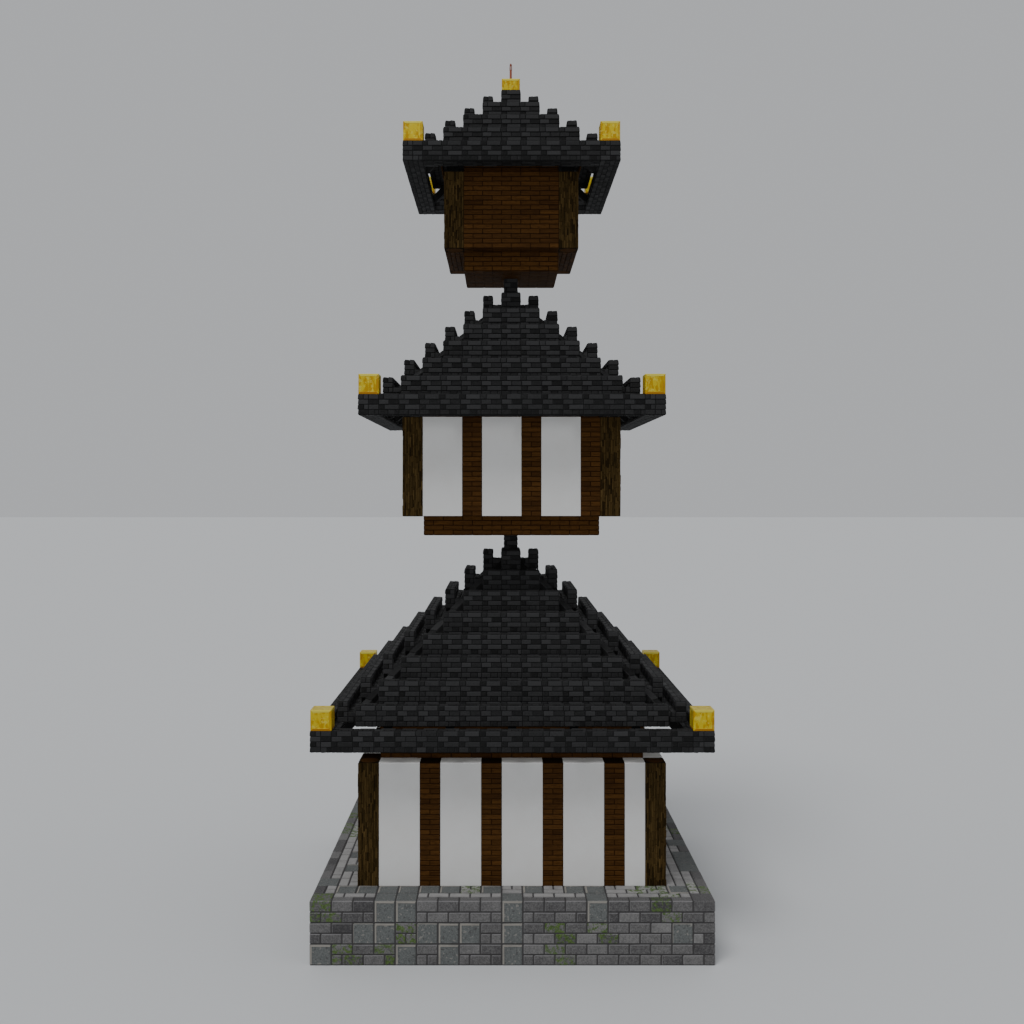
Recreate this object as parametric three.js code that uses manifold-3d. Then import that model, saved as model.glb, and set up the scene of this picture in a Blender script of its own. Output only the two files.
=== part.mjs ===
// A three-storey japanese castle of blocks: stone base, timber-framed plaster walls, stepped tile roofs.
// Millimetres, +Z up. The origin is the middle of the underside of the base. The front faces -Y.

import * as THREE from "three";
import { mergeVertices } from "three/addons/utils/BufferGeometryUtils.js";
import Module from "manifold-3d";

// Driving dimensions. Every other length is counted in blocks.
const BLOCK = 606;
const GAP = 0.3125 / BLOCK;
const GRID = 64;
const SIDES = ["front", "right", "back", "left"];

// Stone base.
const BASE_HALF = 9.5;
const BASE_TOP = 3;

// Walls, the same in every storey: depths are measured inwards from the outer face.
const WALL_DEPTH = 1;
const PANEL_SKIN = 0.6;
const POST_DEPTH = 0.65;
const RAIL_HEIGHT = 0.4;
const CORE_DEPTH = 0.8;
const RAIL_TENON = 0.1;
const LEDGE_START = 0.9;
const LEDGE_DEPTH = 1.5;
const LEDGE_END = 0.02;
const LEDGE_HEIGHT = 0.35;
const LEAST_BAY = 0.5;

// Storeys: half width over the walls, foot and head of the walls, and the columns that hold a post,
// counted from the left. The first storey's left side has posts next to both of its corner logs.
const STOREYS = [
  {
    name: "tier1", half: 7.5, foot: 3, head: 9, posts: [3, 6, 9, 12], leftPosts: [1, 4, 7, 10, 13],
    floor: false,
  },
  { name: "tier2", half: 5.5, foot: 21, head: 26, posts: [3, 6, 9], floor: true },
  { name: "tier3", half: 3.5, foot: 35, head: 39, posts: [], floor: true },
];

// Roofs: half width over the eaves, underside of the eaves, top of the ceiling below, and the places
// along each side of the rafters and of the struts that carry them.
const ROOFS = [
  { name: "roof1", half: 9.5, eave: 10, ceiling: 10, rafters: [-6, -3, 0, 3, 6], struts: [-3, 0, 3] },
  { name: "roof2", half: 7.5, eave: 26, ceiling: 27, rafters: [-3, 0, 3], struts: [-3, 0, 3] },
  { name: "roof3", half: 5.5, eave: 39, ceiling: 40, rafters: [-3, 3], struts: [0] },
];
const TOOTH_DEPTH = 0.5;
const STEP_HEIGHT = 0.5;
const STEP_LAP = 0.1;
const RAFTER_WIDTH = 0.4;
const RAFTER_DROP = 0.6;
const RAFTER_DEPTH = 0.5;
const RAFTER_FOOT = 0.1;
const DECK_START = 1.8;
const DECK_DROP = 0.55;
const DECK_DEPTH = 0.3;
const DECK_JOINT = 0.02;
const STRUT_TOP = 2.7;
const STRUT_SETBACK = 3.3;
const STRUT_WIDTH = 0.5;

// Pillars in the middle of the roofs, with a thinner neck that carries the floor above.
const PILLAR_HALF = 0.5;
const NECK_HALF = 0.35;
const NECK_TENON = 0.1;
const FINIAL_HALF = 0.5;
const SPIRE_RADIUS = 0.0625;
const SPIRE_LENGTH = 1;
const SPIRE_FACES = 16;

// Materials, one to each kind of piece.
const paint = (color, roughness, metalness = 0) =>
  new THREE.MeshStandardMaterial({ color, roughness, metalness });
const STONE = paint(0x7c7d7b, 0.95);
const LOG = paint(0x4a3820, 0.9);
const PLANK = paint(0x4e3216, 0.85);
const PLASTER = paint(0xc9c9c7, 0.9);
const TILE = paint(0x2f2f31, 0.7);
const GOLD = paint(0xd8b23c, 0.35, 1);
const COPPER = paint(0x8a4a30, 0.5, 1);

// Joining boxes into one closed solid.
const wasm = await Module();
wasm.setup();

function toManifold(geometry) {
  const bare = geometry.clone();
  bare.deleteAttribute("normal");
  bare.deleteAttribute("uv");
  const merged = mergeVertices(bare, 1e-3);
  return new wasm.Manifold(new wasm.Mesh({
    numProp: 3,
    vertProperties: new Float32Array(merged.attributes.position.array),
    triVerts: new Uint32Array(merged.index.array),
  }));
}

function toGeometry(solid) {
  const mesh = solid.getMesh();
  const geometry = new THREE.BufferGeometry();
  geometry.setAttribute("position", new THREE.BufferAttribute(new Float32Array(mesh.vertProperties), 3));
  geometry.setIndex(new THREE.BufferAttribute(new Uint32Array(mesh.triVerts), 1));
  geometry.computeVertexNormals();
  return geometry;
}

function join(geometries) {
  let solid = toManifold(geometries[0]);
  for (const geometry of geometries.slice(1)) {
    solid = solid.add(toManifold(geometry));
  }
  return toGeometry(solid);
}

// Lengths in blocks become millimetres on a fine grid, so faces that lie in one plane agree.
const toGrid = (blocks) => Math.round(blocks * BLOCK * GRID) / GRID;

// A box between two corners, both in blocks.
function box(x0, x1, y0, y1, z0, z1) {
  const geometry = new THREE.BoxGeometry(1, 1, 1);
  const corners = geometry.attributes.position;
  for (let i = 0; i < corners.count; i += 1) {
    const x = corners.getX(i) < 0 ? x0 : x1;
    const y = corners.getY(i) < 0 ? y0 : y1;
    const z = corners.getZ(i) < 0 ? z0 : z1;
    corners.setXYZ(i, toGrid(x), toGrid(y), toGrid(z));
  }
  return geometry;
}

// Puts a shape on one side: x runs to the right as seen from outside, y inwards from the outer face.
function toSide(geometry, side, half) {
  const corners = geometry.attributes.position;
  for (let i = 0; i < corners.count; i += 1) {
    const s = toGrid(corners.getX(i));
    const d = toGrid(corners.getY(i) - half);
    const z = toGrid(corners.getZ(i));
    const place = { front: [s, d], right: [-d, s], back: [-s, -d], left: [d, -s] }[side];
    corners.setXYZ(i, place[0], place[1], z);
  }
  return geometry;
}

// A box on one side, between two places along it, two depths and two heights.
function sideBox(side, half, s0, s1, d0, d1, z0, z1) {
  const geometry = new THREE.BoxGeometry(s1 - s0, d1 - d0, z1 - z0);
  geometry.translate((s0 + s1) / 2, (d0 + d1) / 2, (z0 + z1) / 2);
  return toSide(geometry, side, half);
}

function piece(name, geometry, material) {
  const mesh = new THREE.Mesh(geometry, material);
  mesh.name = name;
  return mesh;
}

const isLong = (side) => side === "front" || side === "back";

const postsOf = (storey, side) => (side === "left" && storey.leftPosts) || storey.posts;

// The timber of one side: posts, sill and head rails behind them, ledges inside for floor and ceiling.
// The front and back also carry the corner logs.
function timberFrame(storey, side) {
  const { half, foot, head, floor } = storey;
  const low = foot + GAP;
  const inner = half - WALL_DEPTH;
  const reach = isLong(side) ? inner : inner - GAP;
  const rail = isLong(side) ? inner + RAIL_TENON : inner - GAP;
  const ledge = isLong(side) ? inner - LEDGE_END : inner - (LEDGE_DEPTH - WALL_DEPTH) - LEDGE_END;
  const parts = [];
  for (const column of postsOf(storey, side)) {
    const left = Math.max(column - half, -reach);
    const right = Math.min(column + 1 - half, reach);
    parts.push(sideBox(side, half, left, right, 0, POST_DEPTH, low, head));
  }
  if (isLong(side)) {
    parts.push(sideBox(side, half, -half, -inner, 0, WALL_DEPTH, low, head));
    parts.push(sideBox(side, half, inner, half, 0, WALL_DEPTH, low, head));
  }
  parts.push(sideBox(side, half, -rail, rail, PANEL_SKIN, WALL_DEPTH, low, low + RAIL_HEIGHT));
  parts.push(sideBox(side, half, -rail, rail, PANEL_SKIN, WALL_DEPTH, head - RAIL_HEIGHT, head));
  parts.push(sideBox(side, half, -ledge, ledge, LEDGE_START, LEDGE_DEPTH, head - LEDGE_HEIGHT, head));
  if (floor) {
    parts.push(sideBox(side, half, -ledge, ledge, LEDGE_START, LEDGE_DEPTH, low, low + LEDGE_HEIGHT));
  }
  return parts;
}

// The filling of one side: a skin in each bay, joined by a sheet that passes behind the posts.
function wallFilling(storey, side) {
  const { half, foot, head } = storey;
  const posts = postsOf(storey, side);
  const inner = half - WALL_DEPTH - GAP;
  const low = foot + GAP;
  const coreLow = low + RAIL_HEIGHT + GAP;
  const coreHigh = head - RAIL_HEIGHT - GAP;
  const edges = [-inner];
  for (const column of posts) {
    edges.push(column - half - GAP, column + 1 - half + GAP);
  }
  edges.push(inner);
  const parts = [];
  for (let i = 0; i < edges.length; i += 2) {
    if (edges[i + 1] - edges[i] > LEAST_BAY) {
      parts.push(sideBox(side, half, edges[i], edges[i + 1], 0, PANEL_SKIN - GAP, low, head));
      parts.push(sideBox(side, half, edges[i], edges[i + 1], 0, CORE_DEPTH, coreLow, coreHigh));
    }
  }
  const back = posts.length ? POST_DEPTH + GAP : PANEL_SKIN;
  parts.push(sideBox(side, half, -inner, inner, back, WALL_DEPTH, coreLow, coreHigh));
  return parts;
}

// A wall of planks alone, as thick as the wall is.
function fullPlanks(storey, side) {
  const { half, foot, head } = storey;
  const inner = half - WALL_DEPTH - GAP;
  return [sideBox(side, half, -inner, inner, 0, WALL_DEPTH, foot + GAP, head)];
}

// One slope: stepped rows, each high outside and low inside. A sloping deck under them closes the roof
// inside the eaves, and rafters carry the eaves. The side slopes hold the corners of the eaves, and
// higher rows stop short of the hips.
function roofSlope(roof, side) {
  const { half, eave, ceiling, rafters, struts } = roof;
  const rows = half - 0.5;
  const parts = [];
  for (let k = 0; k < rows; k += 1) {
    const z = eave + k;
    const reach = !isLong(side) && k === 0 ? half : half - 1 - k - GAP;
    const inside = k === rows - 1 ? k + 1 - GAP : k + 1;
    const step = k + TOOTH_DEPTH - STEP_LAP;
    parts.push(sideBox(side, half, -reach, reach, k, k + TOOTH_DEPTH, z, z + 1));
    parts.push(sideBox(side, half, -reach, reach, step, inside, z, z + STEP_HEIGHT));
  }
  parts.push(deck(side, half, DECK_START, rows - GAP, eave));
  for (const s of rafters) {
    const end = Math.min(Math.floor(half - Math.abs(s) - RAFTER_WIDTH / 2), STRUT_SETBACK + STRUT_WIDTH);
    parts.push(rafter(side, half, s, end, eave));
  }
  for (const s of struts) {
    const a = s - STRUT_WIDTH / 2;
    const b = s + STRUT_WIDTH / 2;
    const rear = STRUT_SETBACK + STRUT_WIDTH;
    parts.push(sideBox(side, half, a, b, STRUT_SETBACK, rear, ceiling + GAP, eave + STRUT_TOP));
  }
  return parts;
}

// The deck: a sheet at 45 degrees between two depths, mitred along the hips.
function deck(side, half, low, high, eave) {
  const sheet = new THREE.BoxGeometry(1, 1, 1);
  const corners = sheet.attributes.position;
  for (let i = 0; i < corners.count; i += 1) {
    const d = corners.getY(i) < 0 ? low : high;
    const s = Math.sign(corners.getX(i)) * (half - d - DECK_JOINT);
    const drop = corners.getZ(i) < 0 ? DECK_DROP + DECK_DEPTH : DECK_DROP;
    corners.setXYZ(i, s, d, eave + d - drop);
  }
  return toSide(sheet, side, half);
}

// A rafter at 45 degrees, from a level foot in the eave row to a vertical end.
function rafter(side, half, s, end, eave) {
  const shape = new THREE.Shape([
    new THREE.Vector2(RAFTER_DROP + RAFTER_FOOT, eave + RAFTER_FOOT),
    new THREE.Vector2(RAFTER_DROP + RAFTER_DEPTH + RAFTER_FOOT, eave + RAFTER_FOOT),
    new THREE.Vector2(end, eave + end - RAFTER_DROP - RAFTER_DEPTH),
    new THREE.Vector2(end, eave + end - RAFTER_DROP),
  ]);
  const beam = new THREE.ExtrudeGeometry(shape, { depth: RAFTER_WIDTH, bevelEnabled: false });
  const corners = beam.attributes.position;
  for (let i = 0; i < corners.count; i += 1) {
    const d = corners.getX(i);
    const z = corners.getY(i);
    corners.setXYZ(i, s - RAFTER_WIDTH / 2 + corners.getZ(i), d, z);
  }
  return toSide(beam, side, half);
}

const castle = new THREE.Group();

// Stone base.
castle.add(piece("stone_base", box(-BASE_HALF, BASE_HALF, -BASE_HALF, BASE_HALF, 0, BASE_TOP), STONE));

// Storeys.
for (const storey of STOREYS) {
  const tier = new THREE.Group();
  const filling = storey.posts.length ? PLASTER : PLANK;
  const word = storey.posts.length ? "plaster" : "planks";
  for (const side of SIDES) {
    const frame = timberFrame(storey, side);
    const wall = wallFilling(storey, side);
    if (storey.posts.length === 0 && !isLong(side)) {
      const whole = join([...fullPlanks(storey, side), ...frame]);
      tier.add(piece(`${storey.name}_${side}_${word}`, whole, filling));
      continue;
    }
    const frameMaterial = storey.posts.length ? PLANK : LOG;
    tier.add(piece(`${storey.name}_${side}_frame`, join(frame), frameMaterial));
    tier.add(piece(`${storey.name}_${side}_${word}`, join(wall), filling));
  }
  const inner = storey.half - WALL_DEPTH;
  if (storey.floor) {
    const floor = box(-inner, inner, -inner, inner, storey.foot - 1, storey.foot);
    tier.add(piece(`${storey.name}_floor`, floor, PLANK));
  }
  const ceiling = box(-inner, inner, -inner, inner, storey.head + GAP, storey.head + 1);
  tier.add(piece(`${storey.name}_ceiling`, ceiling, PLANK));
  castle.add(tier);
}

// Roofs, each with its pillar and four corner finials.
ROOFS.forEach((roof, index) => {
  const group = new THREE.Group();
  for (const side of SIDES) {
    group.add(piece(`${roof.name}_${side}_slope`, join(roofSlope(roof, side)), TILE));
  }
  const p = PILLAR_HALF - GAP;
  const apex = roof.eave + roof.half - 0.5;
  const shaft = box(-p, p, -p, p, roof.ceiling + GAP, apex);
  const above = STOREYS[index + 1];
  const parts = [shaft];
  if (above) {
    const n = NECK_HALF;
    parts.push(box(-n, n, -n, n, apex - NECK_TENON, above.foot - 1 - GAP));
  }
  group.add(piece(`${roof.name}_pillar`, join(parts), TILE));
  const corner = roof.half - FINIAL_HALF;
  [[-1, -1, "front_left"], [1, -1, "front_right"], [1, 1, "back_right"], [-1, 1, "back_left"]].forEach(
    ([x, y, place]) => {
      const finial = box(-FINIAL_HALF, FINIAL_HALF, -FINIAL_HALF, FINIAL_HALF, GAP, 1);
      const mesh = piece(`${roof.name}_finial_${place}`, finial, GOLD);
      mesh.position.set(x * corner * BLOCK, y * corner * BLOCK, (roof.eave + 1) * BLOCK);
      group.add(mesh);
    },
  );
  castle.add(group);
});

// The gold block on the top roof and the spire on it.
const summit = ROOFS[2].eave + ROOFS[2].half - 0.5;
const crown = box(-FINIAL_HALF, FINIAL_HALF, -FINIAL_HALF, FINIAL_HALF, summit + GAP, summit + 1);
castle.add(piece("crown_finial", crown, GOLD));
const thickness = SPIRE_RADIUS * BLOCK;
const rod = new THREE.CylinderGeometry(thickness, thickness, SPIRE_LENGTH * BLOCK, SPIRE_FACES);
rod.rotateX(Math.PI / 2);
const spire = piece("spire", rod, COPPER);
spire.position.z = (summit + 1 + GAP + SPIRE_LENGTH / 2) * BLOCK;
castle.add(spire);

export default castle;
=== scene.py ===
"""Dresses a block-built japanese castle: masonry, bark and boards, plaster, tiles, gilding and a spire.

Lengths are counted in blocks of the castle's own grid and become metres as a piece is laid. On each of
the four sides, s runs to the right as seen from outside, d runs inwards from the outer face and z is up.
"""

import math
import random
from contextlib import contextmanager
from dataclasses import dataclass, replace

import bpy
import numpy as np
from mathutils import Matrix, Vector, noise


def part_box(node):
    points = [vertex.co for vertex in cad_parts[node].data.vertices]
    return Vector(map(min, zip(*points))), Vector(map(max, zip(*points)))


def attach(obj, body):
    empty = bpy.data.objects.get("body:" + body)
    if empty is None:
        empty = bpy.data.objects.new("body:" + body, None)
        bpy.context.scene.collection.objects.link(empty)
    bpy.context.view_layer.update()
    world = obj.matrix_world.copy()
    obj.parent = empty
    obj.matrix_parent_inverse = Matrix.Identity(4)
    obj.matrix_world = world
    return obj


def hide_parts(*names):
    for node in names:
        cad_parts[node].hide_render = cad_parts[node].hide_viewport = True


bl_info = {
    "name": "Japanese Castle Dresser",
    "version": (1, 0, 0),
    "blender": (4, 5, 0),
    "location": "3D View > Sidebar > Castle",
    "description": "Models the masonry, timber, plaster, tiles and gilding of a block-built castle",
    "category": "Object",
}

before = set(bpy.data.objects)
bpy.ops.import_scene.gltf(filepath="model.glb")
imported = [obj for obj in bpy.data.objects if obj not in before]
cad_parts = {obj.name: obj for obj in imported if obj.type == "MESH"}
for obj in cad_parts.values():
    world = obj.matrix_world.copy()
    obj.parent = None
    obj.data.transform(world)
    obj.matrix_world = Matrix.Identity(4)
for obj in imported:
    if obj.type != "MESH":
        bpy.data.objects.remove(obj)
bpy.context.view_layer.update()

# The grid, from the frame.
UP = Vector((0, 0, 1))
BASE_LOW, BASE_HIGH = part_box("stone_base")
BASE_COURSES = 3
BLOCK = (BASE_HIGH[2] - BASE_LOW[2]) / BASE_COURSES
BASE_CELLS = 19
BASE_HALF = BASE_CELLS / 2
SIDES = ("front", "right", "back", "left")
SIDE_AXES = {
    "front": (Vector((1, 0, 0)), Vector((0, 1, 0))),
    "right": (Vector((0, 1, 0)), Vector((-1, 0, 0))),
    "back": (Vector((-1, 0, 0)), Vector((0, -1, 0))),
    "left": (Vector((0, -1, 0)), Vector((1, 0, 0))),
}

# Which way each face of a block looks, in s, d and z: its normal, and the way its courses climb.
FACES = {
    "out": ((0, -1, 0), (0, 0, 1)),
    "in": ((0, 1, 0), (0, 0, 1)),
    "right": ((1, 0, 0), (0, 0, 1)),
    "left": ((-1, 0, 0), (0, 0, 1)),
    "top": ((0, 0, 1), (0, 1, 0)),
    "under": ((0, 0, -1), (0, 1, 0)),
}

# Storeys: half width, foot and head of the walls, columns that hold a post, and whether a floor shows.
STOREYS = {
    "tier1": {
        "half": 7.5, "foot": 3, "head": 9, "posts": (3, 6, 9, 12), "left posts": (1, 4, 7, 10, 13),
        "floor": False,
    },
    "tier2": {"half": 5.5, "foot": 21, "head": 26, "posts": (3, 6, 9), "floor": True},
    "tier3": {"half": 3.5, "foot": 35, "head": 39, "posts": (), "floor": True},
}

# Roofs: half width over the eaves, underside of the eaves, half width of the ceiling below, and the
# rafters along each side. Open rows are those whose undersides show under the eaves.
ROOFS = {
    "roof1": {"half": 9.5, "eave": 10, "ceiling": 6.5, "rafters": (-6, -3, 0, 3, 6)},
    "roof2": {"half": 7.5, "eave": 26, "ceiling": 4.5, "rafters": (-3, 0, 3)},
    "roof3": {"half": 5.5, "eave": 39, "ceiling": 2.5, "rafters": (-3, 3)},
}
OPEN_ROWS = 2

# Painted light and shade: how much lighter or darker than the rest some boards and tiles are painted,
# lighter on the edges of floors and ceilings and darker on undersides and eaves.
FLOOR_EDGE_PAINTED_LIGHT = 0.45
FLOOR_UNDERSIDE_PAINTED_SHADE = -0.1
EAVES_PAINTED_SHADE = -0.2
ROW_UNDERSIDE_PAINTED_SHADE = -0.3

# Inside the roofs, in blocks: the neck's half width, how far in the deck and the rafters start and
# end, how wide a rafter and a row of hip tiles are, and how far below the slope each surface lies.
NECK_HALF = 0.35
HIP_WIDTH = 0.5
DECK_START = 1.8
DECK_TOP = 0.55
DECK_UNDERSIDE = 0.85
RAFTER_WIDTH = 0.4
RAFTER_UNDERSIDE = 1.1
RAFTER_START = 1.2
RAFTER_END = 3.8

# The stone pattern of the front, a letter to a block from the left: b for bricks, m for mossy bricks,
# s for a slab with a drafted margin, p for a plain slab. On the other sides chance picks the stones,
# by the shares of slabs and of mossy bricks. Moss covers the most part of a mossy one. Upright stones
# are painted darker than the paving, as painted shade on the sides and painted light on the tops, and the
# tones of both spread alike.
FRONT_STONES = (
    "smbmsbsbbsbmbbbbbbb",
    "bbpsmpssbsbmbmbbbpb",
    "mbbssbbbbsbbbsbbmbb",
)
FRONT_TERRACE = "bbsssssmsbsbssbmmbb"
SLABS = "sp"
SLAB_SHARE = 0.17
MOSS_SHARE = 0.13
MOSS_COVER = (0.85, 1.0)
FACING_SHADED_TONE = 0.25
PAVING_LIT_TONE = 0.95
STONE_SPREAD = 0.115

# Depths of stones and panels, where the sheet behind the posts starts, and the rails that it leaves
# free above and below, in blocks.
FACING_DEPTH = 0.25
PAVING_DEPTH = 0.25
PANEL_DEPTH = 0.57
SHEET_START = 0.655
RAIL_HEIGHT = 0.42

# The shortest and longest strips of bark, and the widest gap between posts that has no panel, in blocks.
BARK_LEAST = 0.2
BARK_MOST = 0.8
NARROW_BAY = 0.5

# Tones from 0, dark, to 1, light: the middle and the spread for bark and hip tiles, and the lowest and
# the highest for the boards under the deck and under its rafters.
BARK_TONES = (0.4, 0.25)
HIP_TONES = (0.45, 0.2)
DECK_TONES = (0.2, 0.6)
RAFTER_TONES = (0.5, 0.8)

# How uneven the corners of each kind of piece are, in metres.
STONE_ROUGH = 0.002
BARK_ROUGH = 0.002
BOARD_ROUGH = 0.0012
TILE_ROUGH = 0.001

# The fascia in blocks: how far it stops short of the ceiling's corners, its height and its middle
# above the underside of the eaves.
FASCIA_INSET = 0.1
FASCIA_HEIGHT = 0.36
FASCIA_MIDDLE = 0.8

# How finely the face of a plaster panel is divided.
PANEL_CUTS = 11

# Thicknesses, gaps and reliefs, in metres. Each wave of the trowelling has its share and its rate.
CAP_SETBACK = 0.004
CAP_THICKNESS = 0.02
PANEL_SIDE_PLAY = 0.003
PANEL_TOP_PLAY = 0.002
SHEET_PLAY = 0.004
PANEL_EDGE = 0.01
TROWEL_DEPTH = 0.0035
TROWEL_WAVES = ((1.0, 1.7), (0.5, 4.1))
BARK_THICKNESS = 0.035
BARK_PROUD = (0.004, 0.02)
BARK_GAP = 0.004
BARK_CRACK = 0.006
BARK_EDGE = 0.008
LOG_END_PROUD = 0.012
LOG_END_GAP = 0.01
SOFFIT_THICKNESS = 0.03
RAFTER_PLAY = 0.004
BOARD_EDGE = 0.006
FASCIA_THICKNESS = 0.025
HIP_EDGE = 0.012
HIP_LAP = 0.02
HIP_LIFT = 0.03
HIP_PROUD = 0.05
HIP_THICKNESS = 0.17
GOLD_EDGE = 0.016
GOLD_FRAME = 0.055
GOLD_SINK = 0.006

# The spire, from its foot to its tip: where it is cut, the stretches that are wider or narrower, and
# where its bright foot fades and its pale band, a painted highlight, begins and ends.
SPIRE_SIDES = 24
SPIRE_CUTS = (0.05, 0.08, 0.62, 0.64, 0.82, 0.84, 0.94)
SPIRE_WIDTHS = ((-0.01, 0.06, 1.2), (0.63, 0.83, 1.2), (0.99, 1.01, 0.45))
FOOT_FADE = (0.1, 0.04)
HIGHLIGHT_BAND_START = (0.62, 0.64)
HIGHLIGHT_BAND_END = (0.82, 0.84)

# The rings of a log's end: their middle, how close they lie, how far they wander, and where the bark
# begins, in metres from the middle.
RING_MIDDLE = (0.006, 0.004, 0)
RING_RATE = 150.0
RING_DRIFT = 1.4
RING_LIMIT = (0.24, 0.3)

# How metallic the gilding and the copper look.
METAL_SHARE = 0.3

# The part of a modelled block that its worn edge takes, which keeps its own size when it is laid, the
# most of a small piece that it may take, and the slopes below and above which a face looks sideways and
# straight out.
EDGE = 0.1
EDGE_LIMIT = 0.8
EDGE_ON = 0.2
FACE_ON = 0.9

# On a modelled slab: the drafted margin, how far the sunk face moves off it, the step down to that face
# and its depth. The steps lie inside the first reach and the margins outside the second.
SLAB_MARGIN = 0.07
SLAB_SHIFT = 0.05
SLAB_STEP = 0.02
SLAB_SINK = 0.04
STEP_REACH = 0.93
MARGIN_REACH = 0.8

# Where, as a share of the half width, the frame round the face of a gold block begins.
FRAME_SHARE = 0.8

# How much paler than it shows in the stage's soft light a surface is.
LIGHT_GAIN = 1.79

# Boards break joint by half their length. Tiles are of several lengths, pale ones beside dark ones.
# Each course, from the lowest, gives the place and tone of its pieces, and short ends are left out.
BOARD_BOND = (
    ((0.5, 0.5),),
    ((0.0, 0.5),),
)
TILE_BOND = (
    ((0.0, 0.42), (0.46, 0.28), (0.8, 0.45)),
    ((0.0, 0.2), (0.28, 0.75)),
    ((0.0, 0.8), (0.5, 0.22)),
    ((0.25, 0.9), (0.95, 0.35)),
)
LEAST_PIECE = 0.08


# Colours

def tint(*shown):
    """The surface colour that shows as the given red, green and blue in the stage's soft light."""
    shares = [value / 255 for value in shown]
    linear = [s / 12.92 if s <= 0.04045 else ((s + 0.055) / 1.055) ** 2.4 for s in shares]
    return (*(min(value * LIGHT_GAIN, 1.0) for value in linear), 1.0)


def colour_property(name, description, *shown):
    """A colour that a user can change, given as it shows, in red, green and blue up to 255."""
    return bpy.props.FloatVectorProperty(
        name=name, description=description, subtype="COLOR", size=4, min=0, max=1, default=tint(*shown)
    )


def length_property(name, description, default):
    """A length that a user can change."""
    return bpy.props.FloatProperty(
        name=name, description=description, unit="LENGTH", subtype="DISTANCE", min=0, default=default
    )


class CastleSizes(bpy.types.PropertyGroup):
    """Sizes of the small pieces."""

    stone_joint: length_property("Stone joint", "Width of the mortar joint between stones", 0.022)
    stone_proud: length_property("Stone face", "How far a stone stands out of the mortar", 0.018)
    stone_chamfer: length_property("Stone chamfer", "Worn edge of a stone", 0.024)
    board_length: length_property("Board length", "Length of a wall board", BLOCK)
    board_height: length_property("Board height", "Height of a wall board", BLOCK / 4)
    board_joint: length_property("Board joint", "Gap between boards", 0.02)
    bark_width: length_property("Bark strip", "Width of a strip of bark", BLOCK / 12)
    tile_bond: length_property("Tile bond", "Length after which the tiles' bond repeats", BLOCK)
    tile_height: length_property("Tile course", "Height of a course of roof tiles", BLOCK / 4)
    tile_joint: length_property("Tile joint", "Gap between roof tiles", 0.018)
    tile_lift: length_property("Tile lift", "How far a tile's lower edge stands out", 0.012)


class CastleColours(bpy.types.PropertyGroup):
    """Colours of the finishes."""

    stone_dark: colour_property("Dark stone", "Darkest dressed stone", 45, 44, 45)
    stone_light: colour_property("Light stone", "Lightest dressed stone", 110, 109, 108)
    # Painted highlight on the upper and left edges of the bricks.
    stone_edge_highlight: colour_property("Stone edge", "Rubbed edges of the bricks", 92, 91, 92)
    slab_dark: colour_property("Dark slab", "Darkest squared slab", 60, 62, 62)
    slab_light: colour_property("Light slab", "Lightest squared slab", 79, 81, 80)
    # Pale flecks on the slabs, and the painted highlight on their margins.
    slab_fleck_and_highlight: colour_property("Slab margin", "Drafted margins of the slabs", 104, 101, 96)
    # The mortar colour is also painted shade on the stones' lower and right edges.
    mortar: colour_property("Mortar", "Mortar and the fill of the base", 50, 49, 49)
    moss: colour_property("Moss", "Moss on the stones", 44, 58, 28)
    moss_light: colour_property("Light moss", "Lighter tufts of moss", 64, 80, 42)
    # The frame colour is also painted shade on the lower and right edges of boards and bark.
    core: colour_property("Frame", "Timber in the joints between the boards", 19, 10, 3.5)
    plank_dark: colour_property("Dark board", "Darkest board", 34, 20, 7.5)
    plank_light: colour_property("Light board", "Lightest board", 62, 40, 16.5)
    bark_dark: colour_property("Dark bark", "Furrows of the bark", 22, 16.5, 7)
    bark_light: colour_property("Light bark", "Ridges of the bark", 66, 52, 28)
    end_dark: colour_property("Log end rings", "Dark rings of a sawn log end", 34, 20, 7)
    end_light: colour_property("Log end", "Sawn ends of the logs", 62, 39, 15)
    plaster: colour_property("Plaster", "Lime plaster of the panels", 159, 159, 158)
    plaster_aged: colour_property("Aged plaster", "Clouded parts of the plaster", 155, 154, 152)
    # Painted highlight on the tops of the plaster panels.
    plaster_cap_highlight: colour_property("Plaster cap", "Tops of the plaster panels", 190, 190, 188)
    tile_dark: colour_property("Dark tile", "Darkest roof tile", 17, 17, 17)
    tile_light: colour_property("Light tile", "Lightest roof tile", 39, 39, 39.5)
    # Painted highlight on the upper and left edges of the tiles.
    tile_edge_highlight: colour_property("Tile edge", "Rubbed edges of the tiles", 45, 45, 47)
    # The bed is kept paler than the darkest tile, as painted light in the shaded grooves between rows; it
    # is also painted shade on the tiles' lower and right edges.
    bed: colour_property("Roof bed", "The bed of the tiles", 21, 21, 21)
    gold: colour_property("Gold", "Gilding of the finials", 147, 129, 20)
    # Deeper gold, also used for the gilding's slanting streaks, which are a painted sheen.
    gold_deep: colour_property("Deep gold", "Thicker gilding", 132, 102, 8)
    # Pale flecks on the gilding, and the painted highlight on its upper edges and faces.
    gold_fleck_and_highlight: colour_property("Pale gold", "Rubbed upper edges of the gilding", 155, 145, 58)
    # Painted shade on the gilding's lower and right edges.
    gold_edge_shade: colour_property("Brown gold", "Lower edges of the gilding", 120, 82, 15)
    copper: colour_property("Copper", "Weathered copper of the spire", 112, 60, 42)
    copper_dark: colour_property("Dark copper", "Browner copper", 92, 46, 31)
    # A painted highlight: the pale band near the spire's top.
    copper_band_highlight: colour_property("Copper band", "The pale band of the spire", 112, 92, 88)


# Shapes

def deselect():
    """Leaves nothing selected, so the next operator acts on its own piece alone."""
    bpy.ops.object.select_all(action="DESELECT")


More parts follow.
